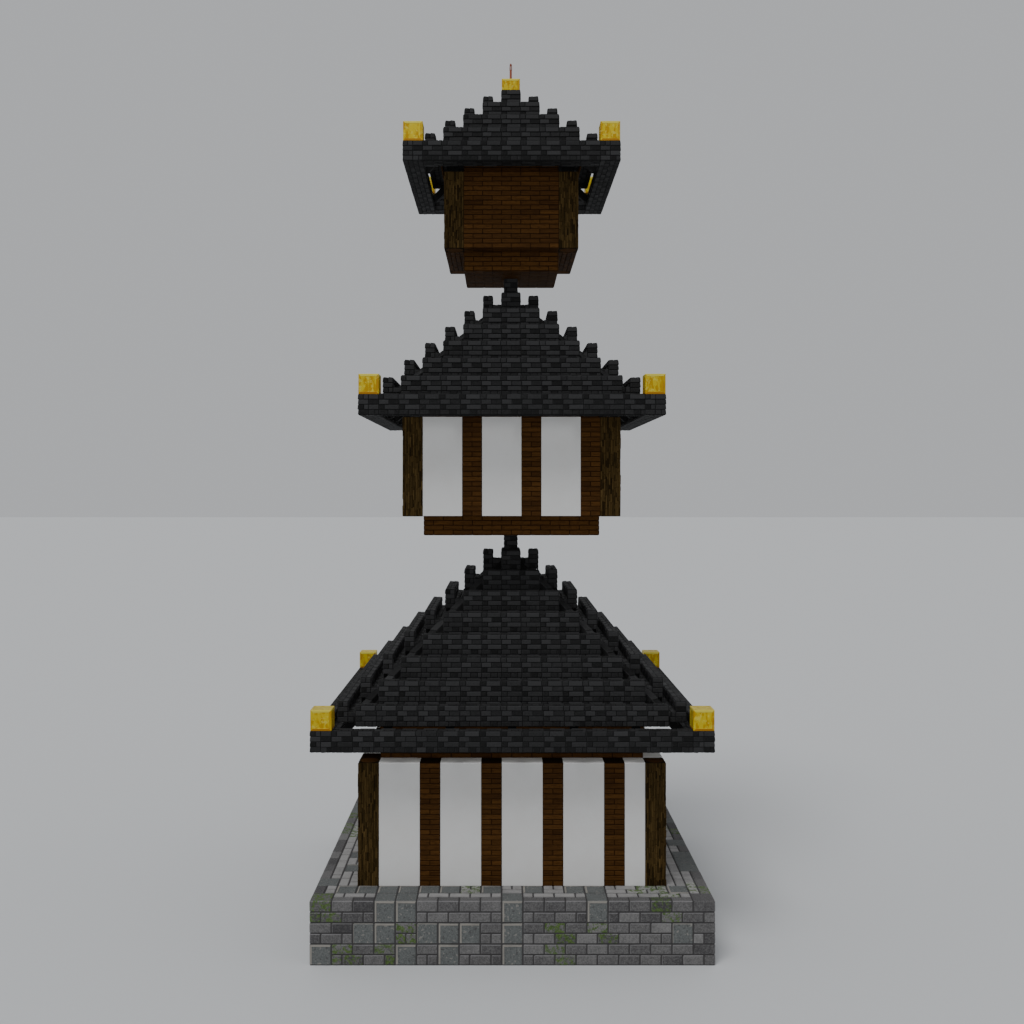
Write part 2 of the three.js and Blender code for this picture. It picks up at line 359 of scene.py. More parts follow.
def take_shape(obj, lighting_marks=None):
    """Reads a modelled block's corners and faces and the painted highlight or shade marked on each face,
    and removes the block.
    """
    mesh = obj.data
    corners = np.array([vertex.co[:] for vertex in mesh.vertices])
    faces = [tuple(polygon.vertices) for polygon in mesh.polygons]
    worn = [lighting_marks(polygon.normal, polygon.center) if lighting_marks else 0.0 for polygon in mesh.polygons]
    bpy.data.objects.remove(obj)
    bpy.data.meshes.remove(mesh)
    return corners, faces, worn


def start_block(size=2):
    """Adds a block to be shaped, two units wide where it is going to be sized as it is laid."""
    deselect()
    bpy.ops.mesh.primitive_cube_add(size=size)
    return bpy.context.object


@contextmanager
def editing():
    """Steps into edit mode for a few operators, and out again."""
    bpy.ops.object.mode_set(mode="EDIT")
    yield
    bpy.ops.object.mode_set(mode="OBJECT")


def select_faces(obj, test):
    """Selects the faces that pass a test, and nothing else."""
    mesh = obj.data
    for polygon in mesh.polygons:
        polygon.select = test(polygon)
    chosen = {index for polygon in mesh.polygons if polygon.select for index in polygon.vertices}
    for edge in mesh.edges:
        edge.select = all(index in chosen for index in edge.vertices)
    for vertex in mesh.vertices:
        vertex.select = vertex.index in chosen


def select_front(obj):
    """Selects the one face that looks along the block's own z axis."""
    select_faces(obj, lambda polygon: polygon.normal.z > FACE_ON)


def bevel_all(offset=EDGE, segments=1):
    """Wears every edge of the block at hand."""
    with editing():
        bpy.ops.mesh.select_all(action="SELECT")
        bpy.ops.mesh.bevel(offset=offset, segments=segments, affect="EDGES")


def highlight_and_shade_of_edges(normal, centre):
    """Painted highlight on upper and left edges, and painted shade on lower and right ones."""
    if normal.z < EDGE_ON or normal.z > FACE_ON:
        return 0.0
    if normal.y > EDGE_ON or normal.x < -EDGE_ON:
        return 0.6
    return -0.6


def highlight_and_shade_of_slab(normal, centre):
    """As for a stone's edges, with a painted highlight on the margin along the top and the left of the
    face, and plain steps.
    """
    if normal.z < FACE_ON and max(abs(centre.x), abs(centre.y)) < STEP_REACH:
        return 0.0
    on_margin = centre.y > MARGIN_REACH or centre.x < -MARGIN_REACH
    if normal.z > FACE_ON and on_margin and abs(centre.x) < 1 - EDGE:
        return 1.0
    return highlight_and_shade_of_edges(normal, centre)


def highlight_and_shade_of_gold(normal, centre):
    """The frame round each face of a gold block: painted highlight above and on the top and bottom faces,
    painted shade below and at the right.
    """
    if abs(normal.z) > 0.5:
        return 0.4
    right = Vector((0, 0, 1)).cross(normal)
    across = centre.dot(right) / (BLOCK / 2)
    height = centre.z / (BLOCK / 2)
    if height > FRAME_SHARE:
        return 1.0
    if height < -FRAME_SHARE:
        return -1.0
    return -0.5 if across > FRAME_SHARE else 0.0


def model_stone():
    """A stone with every edge worn, marked for painted highlight on its upper and left edges and painted
    shade on the others.
    """
    obj = start_block()
    bevel_all()
    return take_shape(obj, highlight_and_shade_of_edges)


def model_board():
    """A board or strip of bark: only the edges of its outer face are worn, and marked for painted highlight
    above and at the left and painted shade below and at the right.
    """
    obj = start_block()
    select_front(obj)
    with editing():
        bpy.ops.mesh.bevel(offset=EDGE, segments=1, affect="EDGES")
    return take_shape(obj, highlight_and_shade_of_edges)


def model_slab():
    """A squared slab with worn edges and a drafted margin on two edges of its sunk face, the margin marked
    for a painted highlight.
    """
    obj = start_block()
    bevel_all()
    select_front(obj)
    with editing():
        bpy.ops.mesh.inset(thickness=SLAB_MARGIN, depth=0)
        bpy.ops.transform.translate(value=(SLAB_SHIFT, -SLAB_SHIFT, 0))
        bpy.ops.mesh.inset(thickness=SLAB_STEP, depth=-SLAB_SINK)
    return take_shape(obj, highlight_and_shade_of_slab)


def model_panel():
    """A plaster panel with softened edges and a face fine enough to be uneven."""
    obj = start_block()
    bevel_all(segments=2)
    select_front(obj)
    with editing():
        bpy.ops.mesh.subdivide(number_cuts=PANEL_CUTS)
    return take_shape(obj)


class Layer:
    """Copies of modelled blocks that are laid one by one and joined as one piece."""

    def __init__(self, name):
        self.name = name
        self.chance = random.Random(name)
        self.corners = []
        self.faces = []
        self.uvs = []
        # The first trait marks each face's painted highlight or shade.
        self.traits = {"worn": [], "tone": [], "moss": [], "smooth": []}
        self.count = 0

    def tone(self, middle, spread):
        """A tone from 0 to 1, most often near the middle."""
        return min(max(self.chance.gauss(middle, spread), 0), 1)

    def lay(self, shape, centre, axes, size, chamfer, lift=0.0, rough=0.0, shift=True, **traits):
        """Adds a copy: centre and axes in metres, size along the axes, and its traits from 0 to 1."""
        corners, faces, worn = shape
        reach = np.abs(corners)
        half = np.array(size) / 2
        edge = np.minimum(chamfer, half * EDGE_LIMIT)
        flat = reach / (1 - EDGE) * (half - edge)
        rim = half - (1 - reach) / EDGE * edge
        local = np.sign(corners) * np.where(reach <= 1 - EDGE + 1e-6, flat, rim)
        if lift:
            outer = corners[:, 2] > 0
            local[outer, 2] += lift * (0.5 - 0.5 * corners[outer, 1])
        if rough:
            shakes = np.array([self.chance.gauss(0, rough) for _ in range(local.size)])
            local += np.clip(shakes.reshape(local.shape), -2 * rough, 2 * rough)
        self.corners.append(local @ np.array([axis[:] for axis in axes]) + np.array(centre[:]))
        grain = [self.chance.uniform(0, 50), self.chance.uniform(0, 50)] if shift else [0, 0]
        self.uvs.append(local[:, :2] + np.array(grain))
        for face in faces:
            self.faces.append(tuple(index + self.count for index in face))
        self.traits["worn"].extend(worn)
        for name in ("tone", "moss", "smooth"):
            self.traits[name].extend([traits.get(name, 0.0)] * len(faces))
        self.count += len(corners)

    def finish(self, maker, slot):
        """Joins what was laid into one piece, with a maker's material, that rides on the building."""
        uvs = np.concatenate(self.uvs)
        mesh = bpy.data.meshes.new(self.name)
        mesh.from_pydata(np.concatenate(self.corners).tolist(), [], self.faces)
        mesh.materials.append(finish_of(maker))
        grain = mesh.uv_layers.new(name="grain")
        loops = np.empty(len(mesh.loops), dtype=np.int32)
        mesh.loops.foreach_get("vertex_index", loops)
        grain.data.foreach_set("uv", uvs[loops].astype(np.float32).ravel())
        for name, values in self.traits.items():
            if any(values):
                attribute = mesh.attributes.new(name=name, type="FLOAT", domain="FACE")
                attribute.data.foreach_set("value", np.array(values, dtype=np.float32))
        obj = bpy.data.objects.new(self.name, mesh)
        bpy.context.scene.collection.objects.link(obj)
        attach(obj, "root")
        return obj


@dataclass
class Coursing:
    """How tiles or boards cover a face, in metres.

    Each course of the bond, from the lowest, gives where its pieces start, as shares of the length
    after which the bond repeats, and the tone of each.
    """

    bond: tuple
    length: float
    height: float
    joint: float
    chamfer: float = 0.008
    proud: float = 0.014
    relief: float = 0.0
    thickness: float = 0.03
    lift: float = 0.0
    rough: float = 0.0
    spread: float = 0.12


def boarding(sizes):
    """Boards laid with their butt joints staggered."""
    return Coursing(BOARD_BOND, sizes.board_length, sizes.board_height, sizes.board_joint,
                    rough=BOARD_ROUGH, spread=0.22)


def tiling(sizes):
    """Roof tiles, with their lower edges standing out and pale tiles prouder than dark ones."""
    return Coursing(TILE_BOND, sizes.tile_bond, sizes.tile_height, sizes.tile_joint, chamfer=0.01,
                    proud=0.004, relief=0.012, lift=sizes.tile_lift, rough=TILE_ROUGH, spread=0.17)


def face_ways(face):
    """The two ways along a face and its outward normal, in s, d and z."""
    normal, climb = (np.array(way, dtype=float) for way in FACES[face])
    return np.cross(climb, normal), climb, normal


def face_axes(side, face):
    """The two ways along a face and its outward normal, in metres."""
    along, inward = SIDE_AXES[side]
    return [along * s + inward * d + UP * z for s, d, z in face_ways(face)]


def on_side(side, half, s, d, z):
    """A place on one side, from blocks to metres."""
    along, inward = SIDE_AXES[side]
    return (along * s + inward * (d - half) + UP * z) * BLOCK


def laid(course, length, start, low, high):
    """The pieces of one course between two ends: where each starts and ends, and its tone."""
    first = math.floor((low - start) / length) - 1
    last = math.ceil((high - start) / length)
    marks = [(start + (block + share) * length, tone)
             for block in range(first, last + 1) for share, tone in course]
    before = [tone for mark, tone in marks if mark <= low + LEAST_PIECE]
    inside = [(mark, tone) for mark, tone in marks if low + LEAST_PIECE < mark < high - LEAST_PIECE]
    cuts = [(low, before[-1]), *inside, (high, 0)]
    for (left, tone), (right, _) in zip(cuts, cuts[1:]):
        yield left, right, tone


def clad(layer, shape, coursing, side, half, box, face, lighter=0.0):
    """Covers one face of a block, given in blocks, with courses of tiles or boards cut at its ends.

    The joints keep to the castle's grid, so coverings that meet run on.
    """
    ways, axes = face_ways(face), face_axes(side, face)
    low, high = np.array(box[::2]), np.array(box[1::2])
    (u0, u1), (v0, v1), (_, level) = (sorted((way @ low, way @ high)) for way in ways)
    start = 0.0 if face in ("right", "left") else 0.5
    courses = max(1, round((v1 - v0) * BLOCK / coursing.height))
    rise = (v1 - v0) / courses
    for course in range(courses):
        v = v0 + (course + 0.5) * rise
        row = round(v / rise - 0.5) % len(coursing.bond)
        for left, right, middle in laid(coursing.bond[row], coursing.length / BLOCK, start, u0, u1):
            # A face's tones can be shifted lighter or darker, as painted light or shade.
            tone = layer.tone(middle + lighter, coursing.spread)
            proud = coursing.proud + coursing.relief * tone
            size = ((right - left) * BLOCK - coursing.joint, rise * BLOCK - coursing.joint,
                    coursing.thickness)
            place = ways[0] * (left + right) / 2 + ways[1] * v + ways[2] * level
            centre = on_side(side, half, *place) + axes[2] * (proud - coursing.thickness / 2)
            layer.lay(shape, centre, axes, size, coursing.chamfer, coursing.lift, coursing.rough,
                      tone=tone)


# Materials

class Finish:
    """A material and the nodes that build it."""

    def __init__(self, name):
        self.material = bpy.data.materials.new(name)
        self.material.use_nodes = True
        self.tree = self.material.node_tree
        self.shader = self.tree.nodes["Principled BSDF"]
        self.place = self.tree.nodes.new("ShaderNodeTexCoord").outputs["Object"]

    def node(self, kind, inputs=None, **settings):
        """Adds a node with its settings, its values and its links."""
        node = self.tree.nodes.new(kind)
        for key, value in settings.items():
            setattr(node, key, value)
        for key, value in (inputs or {}).items():
            self.feed(node.inputs[key], value)
        return node

    def feed(self, socket, value):
        """Links a socket, or sets it where the value is plain."""
        if isinstance(value, bpy.types.NodeSocket):
            self.tree.links.new(value, socket)
        else:
            socket.default_value = value

    def attribute(self, name):
        """A number that each copied piece carries."""
        return self.node("ShaderNodeAttribute", attribute_name=name).outputs["Fac"]

    def grain(self, along, across):
        """The piece's own grain map, stretched."""
        uv = self.node("ShaderNodeUVMap", uv_map="grain").outputs["UV"]
        return self.node("ShaderNodeMapping", {"Vector": uv, "Scale": (along, across, 1)}).outputs["Vector"]

    def noise(self, scale, detail=4.0, roughness=0.55, vector=None):
        """Soft noise from 0 to 1, in the building's own space or along a given vector."""
        inputs = {"Scale": scale, "Detail": detail, "Roughness": roughness}
        inputs["Vector"] = self.place if vector is None else vector
        return self.node("ShaderNodeTexNoise", inputs).outputs["Fac"]

    def span(self, value, low, high, to_low=0.0, to_high=1.0):
        """Maps a range onto another, held at its ends."""
        inputs = {0: value, 1: low, 2: high, 3: to_low, 4: to_high}
        return self.node("ShaderNodeMapRange", inputs).outputs[0]

    def combine(self, operation, first, second):
        """Joins two numbers, held between 0 and 1."""
        inputs = {0: first, 1: second}
        return self.node("ShaderNodeMath", inputs, operation=operation, use_clamp=True).outputs[0]

    def blend(self, share, first, second):
        """Mixes two colours."""
        node = self.node("ShaderNodeMix", data_type="RGBA")
        self.feed(node.inputs[0], share)
        self.feed(node.inputs[6], first)
        self.feed(node.inputs[7], second)
        return node.outputs[2]

    def fade(self, first, second, value, low, high, share=1.0):
        """One colour that turns into up to a share of another as a value goes from low to high."""
        return self.blend(self.span(value, low, high, 0, share), first, second)

    def weather(self, colour, pale, dark, pale_share=1.0, dark_share=0.7):
        """Paints a highlight on the edges marked pale, and paints shade on those marked dark."""
        worn = self.attribute("worn")
        light = self.fade(colour, pale, worn, 0, 1, pale_share)
        return self.fade(light, dark, worn, 0, -1, dark_share)

    def bump(self, height, strength, distance):
        """Raises the surface by a pattern."""
        inputs = {"Height": height, "Strength": strength, "Distance": distance}
        self.feed(self.shader.inputs["Normal"], self.node("ShaderNodeBump", inputs).outputs["Normal"])

    def done(self, colour, roughness, specular=0.03):
        """Gives the shader its colour, roughness and gloss."""
        self.feed(self.shader.inputs["Base Color"], colour)
        self.feed(self.shader.inputs["Roughness"], roughness)
        self.shader.inputs["Specular IOR Level"].default_value = specular
        return self.material

    def grained(self, grain, low, share, colour, other, strength, distance, roughness):
        """A plain finish: one colour, with a share of another where the grain is high, and its relief."""
        mixed = self.fade(colour, other, grain, low, 1 - low, share)
        self.bump(grain, strength, distance)
        return self.done(mixed, roughness)


def dressed_stone(colours):
    """Rough grey stone, each stone of its own tone, with moss on some, and painted highlight and shade on
    the edges.
    """
    finish = Finish("dressed stone")
    fine = finish.noise(24, 5, 0.7)
    broad = finish.noise(2.5, 3)
    tone = finish.combine("ADD", finish.attribute("tone"), finish.span(fine, 0.35, 0.65, -0.18, 0.18))
    brick = finish.blend(tone, colours.stone_dark, colours.stone_light)
    speck = finish.noise(12, 1, 0.5)
    plain = finish.fade(colours.slab_dark, colours.slab_light, fine, 0.35, 0.65)
    dotted = finish.fade(plain, colours.slab_fleck_and_highlight, speck, 0.65, 0.69, 0.55)
    slab = finish.fade(dotted, colours.mortar, speck, 0.35, 0.31, 0.6)
    stone = finish.blend(finish.attribute("smooth"), brick, slab)
    # Painted highlight on the upper and left edges, and painted shade in the mortar colour on the others.
    pale = finish.blend(finish.attribute("smooth"), colours.stone_edge_highlight, colours.slab_fleck_and_highlight)
    edged = finish.weather(stone, pale, colours.mortar)
    aged = finish.fade(edged, colours.stone_dark, broad, 0.5, 0.75, 0.25)
    patch = finish.noise(8, 5, 0.75)
    cover = finish.combine("MULTIPLY", finish.span(patch, 0.49, 0.54), finish.attribute("moss"))
    green = finish.fade(colours.moss, colours.moss_light, fine, 0.4, 0.6)
    colour = finish.blend(cover, aged, green)
    pits = finish.noise(60, 4, 0.7)
    relief = finish.combine("ADD", finish.span(pits, 0.3, 0.7, 0, 0.4), finish.span(fine, 0.3, 0.7, 0, 0.4))
    finish.bump(finish.combine("ADD", relief, finish.span(cover, 0, 1, 0, 0.2)), 0.4, 0.01)
    return finish.done(colour, finish.span(fine, 0.3, 0.7, 0.8, 0.95), 0.15)


def mortar_fill(colours):
    """Dark mortar and packed fill behind the stones."""
    finish = Finish("mortar fill")
    grit = finish.noise(45, 5, 0.7)
    return finish.grained(grit, 0.35, 0.5, colours.mortar, colours.stone_dark, 0.6, 0.01, 0.95)


def board_timber(colours):
    """Dark stained boards with fine grain along each board, and painted highlight and shade on their edges.
    """
    finish = Finish("board timber")
    grain = finish.noise(1.0, 6, 0.62, vector=finish.grain(1.6, 42))
    streak = finish.noise(1.0, 3, vector=finish.grain(6, 24))
    tone = finish.combine("ADD", finish.span(finish.attribute("tone"), 0, 1, 0.05, 0.75),
                          finish.span(grain, 0.32, 0.68, -0.3, 0.4))
    board = finish.blend(tone, colours.plank_dark, colours.plank_light)
    streaked = finish.fade(board, colours.plank_dark, streak, 0.5, 0.66, 0.6)
    # Painted highlight on the upper and left edges, and painted shade in the frame colour on the others.
    colour = finish.weather(streaked, colours.plank_light, colours.core, 0.5)
    finish.bump(grain, 0.45, 0.006)
    return finish.done(colour, finish.span(grain, 0.3, 0.7, 0.62, 0.82))


def frame_timber(colours):
    """Timber of the frame itself, in the joints and behind the boards."""
    finish = Finish("frame timber")
    stretched = finish.node("ShaderNodeMapping", {"Vector": finish.place, "Scale": (14, 14, 1.6)})
    grain = finish.noise(1.0, 5, 0.6, vector=stretched.outputs["Vector"])
    return finish.grained(grain, 0.3, 0.6, colours.core, colours.plank_dark, 0.4, 0.006, 0.85)


def bark_timber(colours):
    """Bark in strips, each of its own tone, furrowed along the trunk, with painted highlight and shade on
    the edges.
    """
    finish = Finish("bark timber")
    grain = finish.noise(1.0, 6, 0.65, vector=finish.grain(34, 3.2))
    crust = finish.noise(30, 4, 0.7)
    tone = finish.combine("ADD", finish.span(finish.attribute("tone"), 0, 1, 0, 0.85),
                          finish.span(grain, 0.3, 0.7, -0.3, 0.3))
    bark = finish.blend(tone, colours.bark_dark, colours.bark_light)
    # Painted highlight on the upper and left edges, and painted shade in the frame colour on the others.
    colour = finish.weather(bark, colours.bark_light, colours.core, 0.3)
    furrows = finish.span(grain, 0.3, 0.7, 0, 0.6)
    relief = finish.combine("ADD", furrows, finish.span(crust, 0.3, 0.7, 0, 0.4))
    finish.bump(relief, 0.7, 0.012)
    return finish.done(colour, 0.9)


def log_end(colours):
    """Sawn end of a log: rings round the middle, paler than the bark."""
    finish = Finish("log end")
    uv = finish.node("ShaderNodeUVMap", uv_map="grain").outputs["UV"]
    centred = finish.node("ShaderNodeVectorMath", {0: uv, 1: RING_MIDDLE}, operation="ADD")
    length = finish.node("ShaderNodeVectorMath", {0: centred.outputs[0]}, operation="LENGTH")
    distance = length.outputs["Value"]
    drift = finish.noise(5, 3)
    swing = finish.node("ShaderNodeMath", {0: drift, 1: RING_DRIFT}, operation="MULTIPLY").outputs[0]
    turns = finish.node("ShaderNodeMath", {0: distance, 1: RING_RATE, 2: swing}, operation="MULTIPLY_ADD")
    rings = finish.node("ShaderNodeMath", {0: turns.outputs[0]}, operation="SINE").outputs[0]
    wood = finish.fade(colours.end_dark, colours.end_light, rings, -1, 1)
    colour = finish.fade(wood, colours.bark_dark, distance, *RING_LIMIT)
    finish.bump(rings, 0.2, 0.003)
    return finish.done(colour, 0.85)


def lime_plaster(colours):
    """Trowelled lime plaster, faintly clouded, a little dusty, with a painted highlight on the panels'
    caps.
    """
    finish = Finish("lime plaster")
    broad = finish.noise(1.4, 3)
    trowel = finish.noise(9, 4, 0.6)
    fine = finish.noise(70, 3, 0.6)
    clean = finish.fade(colours.plaster, colours.plaster_aged, broad, 0.35, 0.7, 0.6)
    walls = finish.fade(clean, colours.plaster, trowel, 0.55, 0.8, 0.25)
    # The caps take a paler colour, a painted highlight.
    colour = finish.blend(finish.attribute("tone"), walls, colours.plaster_cap_highlight)
    strokes = finish.span(trowel, 0.3, 0.7, 0, 0.7)
    relief = finish.combine("ADD", strokes, finish.span(fine, 0.3, 0.7, 0, 0.3))
    finish.bump(relief, 0.3, 0.006)
    return finish.done(colour, finish.span(trowel, 0.3, 0.7, 0.8, 0.92), 0.3)


def smoked_tile(colours):
    """Smoked clay tile, nearly black, each tile of its own tone, with painted highlight on its upper and
    left edges and painted shade on the others.
    """
    finish = Finish("smoked tile")
    fine = finish.noise(26, 5, 0.65)
    tone = finish.combine("ADD", finish.attribute("tone"), finish.span(fine, 0.35, 0.65, -0.2, 0.2))
    body = finish.blend(tone, colours.tile_dark, colours.tile_light)
    # Painted highlight on the upper and left edges, and painted shade in the bed colour on the others.
    edge = finish.blend(tone, colours.tile_light, colours.tile_edge_highlight)
    colour = finish.weather(body, edge, colours.bed)
    finish.bump(fine, 0.4, 0.005)
    return finish.done(colour, finish.span(fine, 0.3, 0.7, 0.55, 0.75), 0.05)


def roof_bed(colours):
    """The dark bed that the tiles are laid on, kept a little paler as painted light in the shaded grooves.
    """
    finish = Finish("roof bed")
    grit = finish.noise(35, 4, 0.7)
    return finish.grained(grit, 0.35, 0.5, colours.bed, colours.tile_dark, 0.5, 0.008, 0.95)


def gilding(colours):
    """Gold leaf with slanting streaks of painted sheen, pale flecks, painted highlight on the upper edges
    and painted shade on the lower ones.
    """
    finish = Finish("gilding")
    # Slanting streaks of deeper gold are a painted sheen.
    sheen_slant = finish.node("ShaderNodeMapping", {
        "Vector": finish.place, "Rotation": (math.radians(40), math.radians(40), 0), "Scale": (9, 9, 3),
    })
    streak = finish.noise(1.0, 4, 0.6, vector=sheen_slant.outputs["Vector"])
    fleck = finish.noise(10, 2, 0.5)
    fine = finish.noise(40, 3, 0.6)
    leaf_with_sheen = finish.fade(colours.gold, colours.gold_deep, streak, 0.46, 0.56)
    bright = finish.fade(leaf_with_sheen, colours.gold_fleck_and_highlight, fleck, 0.57, 0.63, 0.65)
    # Painted highlight on the upper edges, and painted shade on the lower and right ones.
    colour = finish.weather(bright, colours.gold_fleck_and_highlight, colours.gold_edge_shade, 1.0, 1.0)
    finish.shader.inputs["Metallic"].default_value = METAL_SHARE
    finish.bump(fine, 0.15, 0.004)
    return finish.done(colour, finish.span(streak, 0.3, 0.7, 0.42, 0.58), 0.15)


def weathered_copper(colours):
    """Brown copper, with one pale band that is a painted highlight, and a brighter foot."""
    finish = Finish("weathered copper")
    low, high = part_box("spire")
    height = finish.node("ShaderNodeSeparateXYZ", {0: finish.place}).outputs["Z"]
    share = finish.span(height, low[2], high[2])
    bloom = finish.noise(30, 4, 0.6)
    brown = finish.fade(colours.copper, colours.copper_dark, bloom, 0.45, 0.7)
    above = finish.fade(brown, colours.copper_band_highlight, share, *HIGHLIGHT_BAND_START)
    topped = finish.fade(above, colours.copper_dark, share, *HIGHLIGHT_BAND_END)
    colour = finish.fade(topped, colours.gold_deep, share, *FOOT_FADE)
    finish.shader.inputs["Metallic"].default_value = METAL_SHARE
    finish.bump(bloom, 0.2, 0.002)
    return finish.done(colour, 0.55, 0.3)


FINISHES = {}


def finish_of(maker):
    """The material that a maker builds, made once and shared."""
    if maker not in FINISHES:
        FINISHES[maker] = maker(bpy.context.scene.castle_colours)
    return FINISHES[maker]


def coat(node, maker):
    """Gives a node of the frame a maker's material in its own slot."""
    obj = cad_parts[node]
    obj.data.materials.clear()
    obj.data.materials.append(finish_of(maker))


# Masonry

def stone_letters(side, level):
    """The stones of one side of one course, a letter to a block from the left."""
    if side == "front" and level < BASE_COURSES:
        return FRONT_STONES[level]
    if side == "front":
        return FRONT_TERRACE
    chance = random.Random(f"{side} {level}")
    letters = ["b"]
    while len(letters) < BASE_CELLS:
        pick = chance.random()
        letters.append("s" if pick < SLAB_SHARE else "m" if pick < SLAB_SHARE + MOSS_SHARE else "b")
    return "".join(letters)


def facing_letters(side, level):
    """As stone_letters, with the right end from the next side, whose corner stone it is."""
    following = SIDES[(SIDES.index(side) + 1) % len(SIDES)]
    return stone_letters(side, level)[:-1] + stone_letters(following, level)[0]


def brick_runs(letters, low, high, shift):
    """Start and end of each brick between two half-blocks, and its letter.

    The joints lie at the blocks' edges, or half a block further on where shift is 1, and every brick
    stops at a slab.
    """
    for start in range(low - (low + shift) % 2, high + 1, 2):
        halves = [h for h in (start, start + 1) if low <= h <= high and letters[h // 2] not in SLABS]
        if halves:
            yield halves[0] / 2 - BASE_HALF, (halves[-1] + 1) / 2 - BASE_HALF, letters[halves[0] // 2]


class Mason:
    """Lays the stones of one piece of masonry."""

    def __init__(self, name, sizes, shapes):
        self.layer = Layer(name)
        self.sizes = sizes
        self.shapes = shapes
        self.joint = sizes.stone_joint / BLOCK
        self.proud = sizes.stone_proud / BLOCK + self.joint / 2

    def lay(self, side, box, letter, middle=FACING_SHADED_TONE):
        """A stone that fills a box on one side, given in blocks, less its joints, facing outwards."""
        s0, s1, d0, d1, z0, z1 = box
        along, inward = SIDE_AXES[side]
        centre = on_side(side, BASE_HALF, (s0 + s1) / 2, (d0 + d1) / 2, (z0 + z1) / 2)
        size = [(high - low - self.joint) * BLOCK for low, high in ((s0, s1), (z0, z1), (d0, d1))]
        self.add(centre, (along, UP, -inward), size, letter, middle)

    def pave(self, side, s0, s1, d0, d1, letter, middle=PAVING_LIT_TONE):
        """A paving stone between two places along the side and two depths, facing upwards."""
        size = [(s1 - s0 - self.joint) * BLOCK, (d1 - d0 - self.joint) * BLOCK, PAVING_DEPTH * BLOCK]
        top = BASE_COURSES + self.proud - self.joint / 2
        centre = on_side(side, BASE_HALF, (s0 + s1) / 2, (d0 + d1) / 2, top - PAVING_DEPTH / 2)
        self.add(centre, face_axes(side, "top"), size, letter, middle)

    def add(self, centre, axes, size, letter, middle):
        """Adds the stone that a letter stands for."""
        shape = self.shapes["slab" if letter == "s" else "stone"]
        moss = self.layer.chance.uniform(*MOSS_COVER) if letter == "m" else 0.0
        tone = self.layer.tone(middle, STONE_SPREAD)
        self.layer.lay(shape, centre, axes, size, self.sizes.stone_chamfer, rough=STONE_ROUGH,
                       tone=tone, moss=moss, smooth=1.0 if letter in SLABS else 0.0)


def lay_masonry(sizes, side, shapes):
    """The facing of one side: bricks in two courses to a block, and squared slabs."""
    mason = Mason(f"stone_base_facing_{side}", sizes, shapes)
    front = -mason.proud
    for level in range(BASE_COURSES):
        letters = facing_letters(side, level)
        top = level == BASE_COURSES - 1
        high = level + 1 + (mason.proud if top else 0)
        for column in range(1, BASE_CELLS - 1):
            s0 = column - BASE_HALF
            size = 1.0 if letters[column] in SLABS else 0.5
            depth = size if top else FACING_DEPTH
            mason.lay(side, (s0, s0 + 1, front, depth, level + 1 - size, high), letters[column])
        for s0, s1, letter in brick_runs(letters, 1, 2 * BASE_CELLS - 2, 1):
            mason.lay(side, (s0, s1, front, FACING_DEPTH, level, level + 0.5), letter)
    return mason.layer


def lay_quoins(sizes, shapes):
    """The corner stones: a slab, or one brick a block square on one half a block square."""
    mason = Mason("stone_base_quoins", sizes, shapes)
    low = -BASE_HALF - mason.proud
    for side in SIDES:
        for level in range(BASE_COURSES):
            letter = stone_letters(side, level)[0]
            size = 1.0 if letter in SLABS else 0.5
            high = level + 1 + (mason.proud if level == BASE_COURSES - 1 else 0)
            mason.lay(side, (low, 1 - BASE_HALF, -mason.proud, 1, level + 1 - size, high), letter)
            if letter not in SLABS:
                mason.lay(side, (low, 0.5 - BASE_HALF, -mason.proud, 0.5, level, level + 0.5), letter)
    return mason.layer


def lay_paving(sizes, side, shapes):
    """The terrace of one side: strips of bricks and squared slabs round the walls."""
    mason = Mason(f"stone_terrace_{side}", sizes, shapes)
    edge = facing_letters(side, BASE_COURSES - 1)
    inner = stone_letters(side, BASE_COURSES)
    cells = BASE_CELLS
    for s0, s1, letter in brick_runs(edge, 2, 2 * cells - 3, 1):
        mason.pave(side, s0, s1, 0.5, 1, letter)
    for d0, shift in ((1, 0), (1.5, 1)):
        for s0, s1, letter in brick_runs(inner, 4, 2 * cells - 5, shift):
            mason.pave(side, s0, s1, d0, d0 + 0.5, letter)
    for column in range(1, cells - 2):
        if inner[column] in SLABS or column == 1:
            s0 = column - BASE_HALF
            mason.pave(side, s0, s0 + 1, 1, 2, "s")
    return mason.layer


class CASTLE_OT_stone_base(bpy.types.Operator):
    """Face the base with bricks, slabs and corner stones, and pave its terrace"""

    bl_idname = "castle.stone_base"
    bl_label = "Stone base"

    def execute(self, context):
        sizes = context.scene.castle_sizes
        shapes = {"stone": model_stone(), "slab": model_slab()}
        coat("stone_base", mortar_fill)
        lay_quoins(sizes, shapes).finish(dressed_stone, "stone")
        for side in SIDES:
            lay_masonry(sizes, side, shapes).finish(dressed_stone, "stone")
            lay_paving(sizes, side, shapes).finish(dressed_stone, "stone")
        return {"FINISHED"}


# Timber

def sill_boxes(storey, side):
    """What shows from below under one wall: the sheet behind the posts, and the posts."""
    half, foot, head = storey["half"], storey["foot"], storey["head"]
    yield 1 - half, half - 1, SHEET_START, 1, foot, head
    for column in posts_of(storey, side):
        yield column - half, column + 1 - half, 0, SHEET_START, foot, head


def posts_of(storey, side):
    """The columns that hold a post on one side, from the left."""
    return storey.get(f"{side} posts", storey["posts"])


